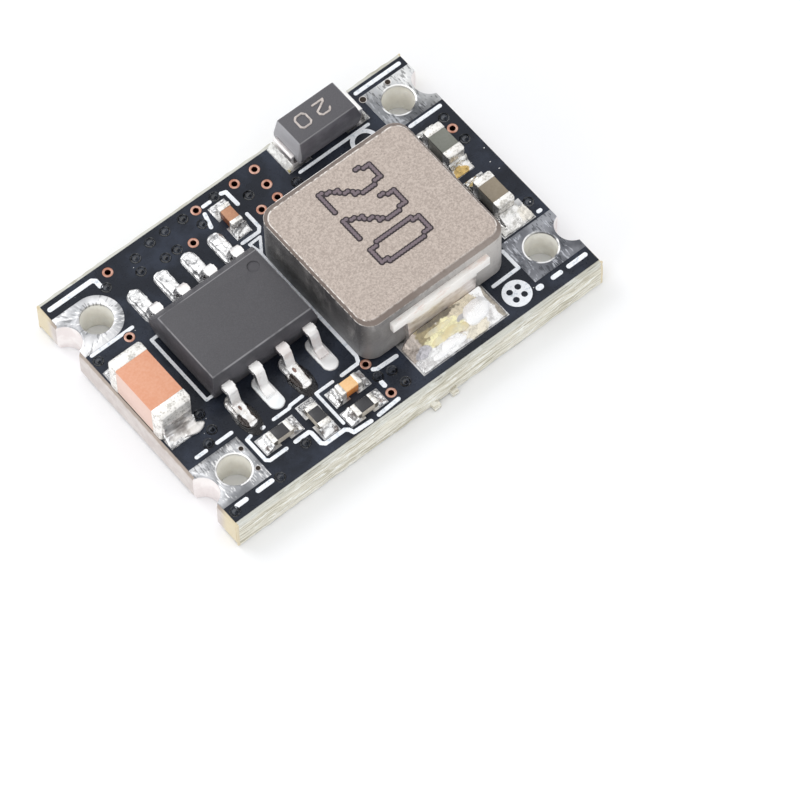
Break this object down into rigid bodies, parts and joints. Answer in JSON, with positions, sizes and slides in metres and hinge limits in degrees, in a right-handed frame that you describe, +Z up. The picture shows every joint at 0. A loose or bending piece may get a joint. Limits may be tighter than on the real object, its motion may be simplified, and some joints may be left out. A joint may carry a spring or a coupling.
{
  "type": "buck converter module",
  "caption": "Small rectangular black circuit board with a square moulded inductor, a gull-wing controller chip, a diode, chip capacitors and resistors, and plated wire holes with edge notches.",
  "frame": {"origin": "centre of the board in plan, on its underside", "axes": "+X along the board from the input end to the output end, +Y across the board towards the diode, +Z up out of the component side"},
  "size_m": [0.0176, 0.012, 0.0042],
  "materials": {
    "laminate": "glass-fibre epoxy laminate, sawn and snapped edges, pale cream",
    "solder_mask": "near-black solder mask, semi-gloss",
    "white_ink": "printed white ink, slightly ragged",
    "tin_plate": "tin plating, satin",
    "solder": "reflowed solder, bright and wavy",
    "bare_copper": "exposed copper ring, satin pink",
    "mould_compound": "black mould compound, fine matt texture",
    "pressed_iron": "pressed iron powder in resin, warm grey, matt and speckled",
    "orange_ceramic": "capacitor ceramic, salmon orange, smooth",
    "grey_ceramic": "capacitor ceramic, grey brown, smooth",
    "alumina": "alumina, off-white",
    "glass_film": "black glass overcoat"
  },
  "bodies": {
    "root": {"laminate": "laminate", "solder_mask_top": "solder_mask", "solder_mask_bottom": "solder_mask", "silkscreen": "white_ink", "copper_pads": "tin_plate", "plated_vias": "bare_copper", "edge_terminal_left_rear": "tin_plate", "edge_terminal_left_front": "tin_plate", "edge_terminal_right_rear": "tin_plate", "edge_terminal_right_front": "tin_plate", "chip_body": "mould_compound", "chip_leads": "tin_plate", "chip_solder": "solder", "inductor_body": "pressed_iron", "inductor_terminal_front": "tin_plate", "inductor_terminal_rear": "tin_plate", "inductor_solder_front": "solder", "inductor_solder_rear": "solder", "diode_body": "mould_compound", "diode_lead_left": "tin_plate", "diode_lead_right": "tin_plate", "diode_solder": "solder", "input_capacitor_ceramic": "orange_ceramic", "input_capacitor_ends": "tin_plate", "input_capacitor_solder": "solder", "output_capacitor_rear_ceramic": "grey_ceramic", "output_capacitor_rear_ends": "tin_plate", "output_capacitor_front_ceramic": "grey_ceramic", "output_capacitor_front_ends": "tin_plate", "output_capacitor_solder": "solder", "boot_capacitor_ceramic": "orange_ceramic", "boot_capacitor_ends": "tin_plate", "boot_capacitor_solder": "solder", "small_capacitor_ceramic": "orange_ceramic", "small_capacitor_ends": "tin_plate", "resistor_left_substrate": "alumina", "resistor_left_overcoat": "glass_film", "resistor_left_ends": "tin_plate", "resistor_middle_substrate": "alumina", "resistor_middle_overcoat": "glass_film", "resistor_middle_ends": "tin_plate", "resistor_right_substrate": "alumina", "resistor_right_overcoat": "glass_film", "resistor_right_ends": "tin_plate", "small_part_solder": "solder"}
  },
  "joints": []
}
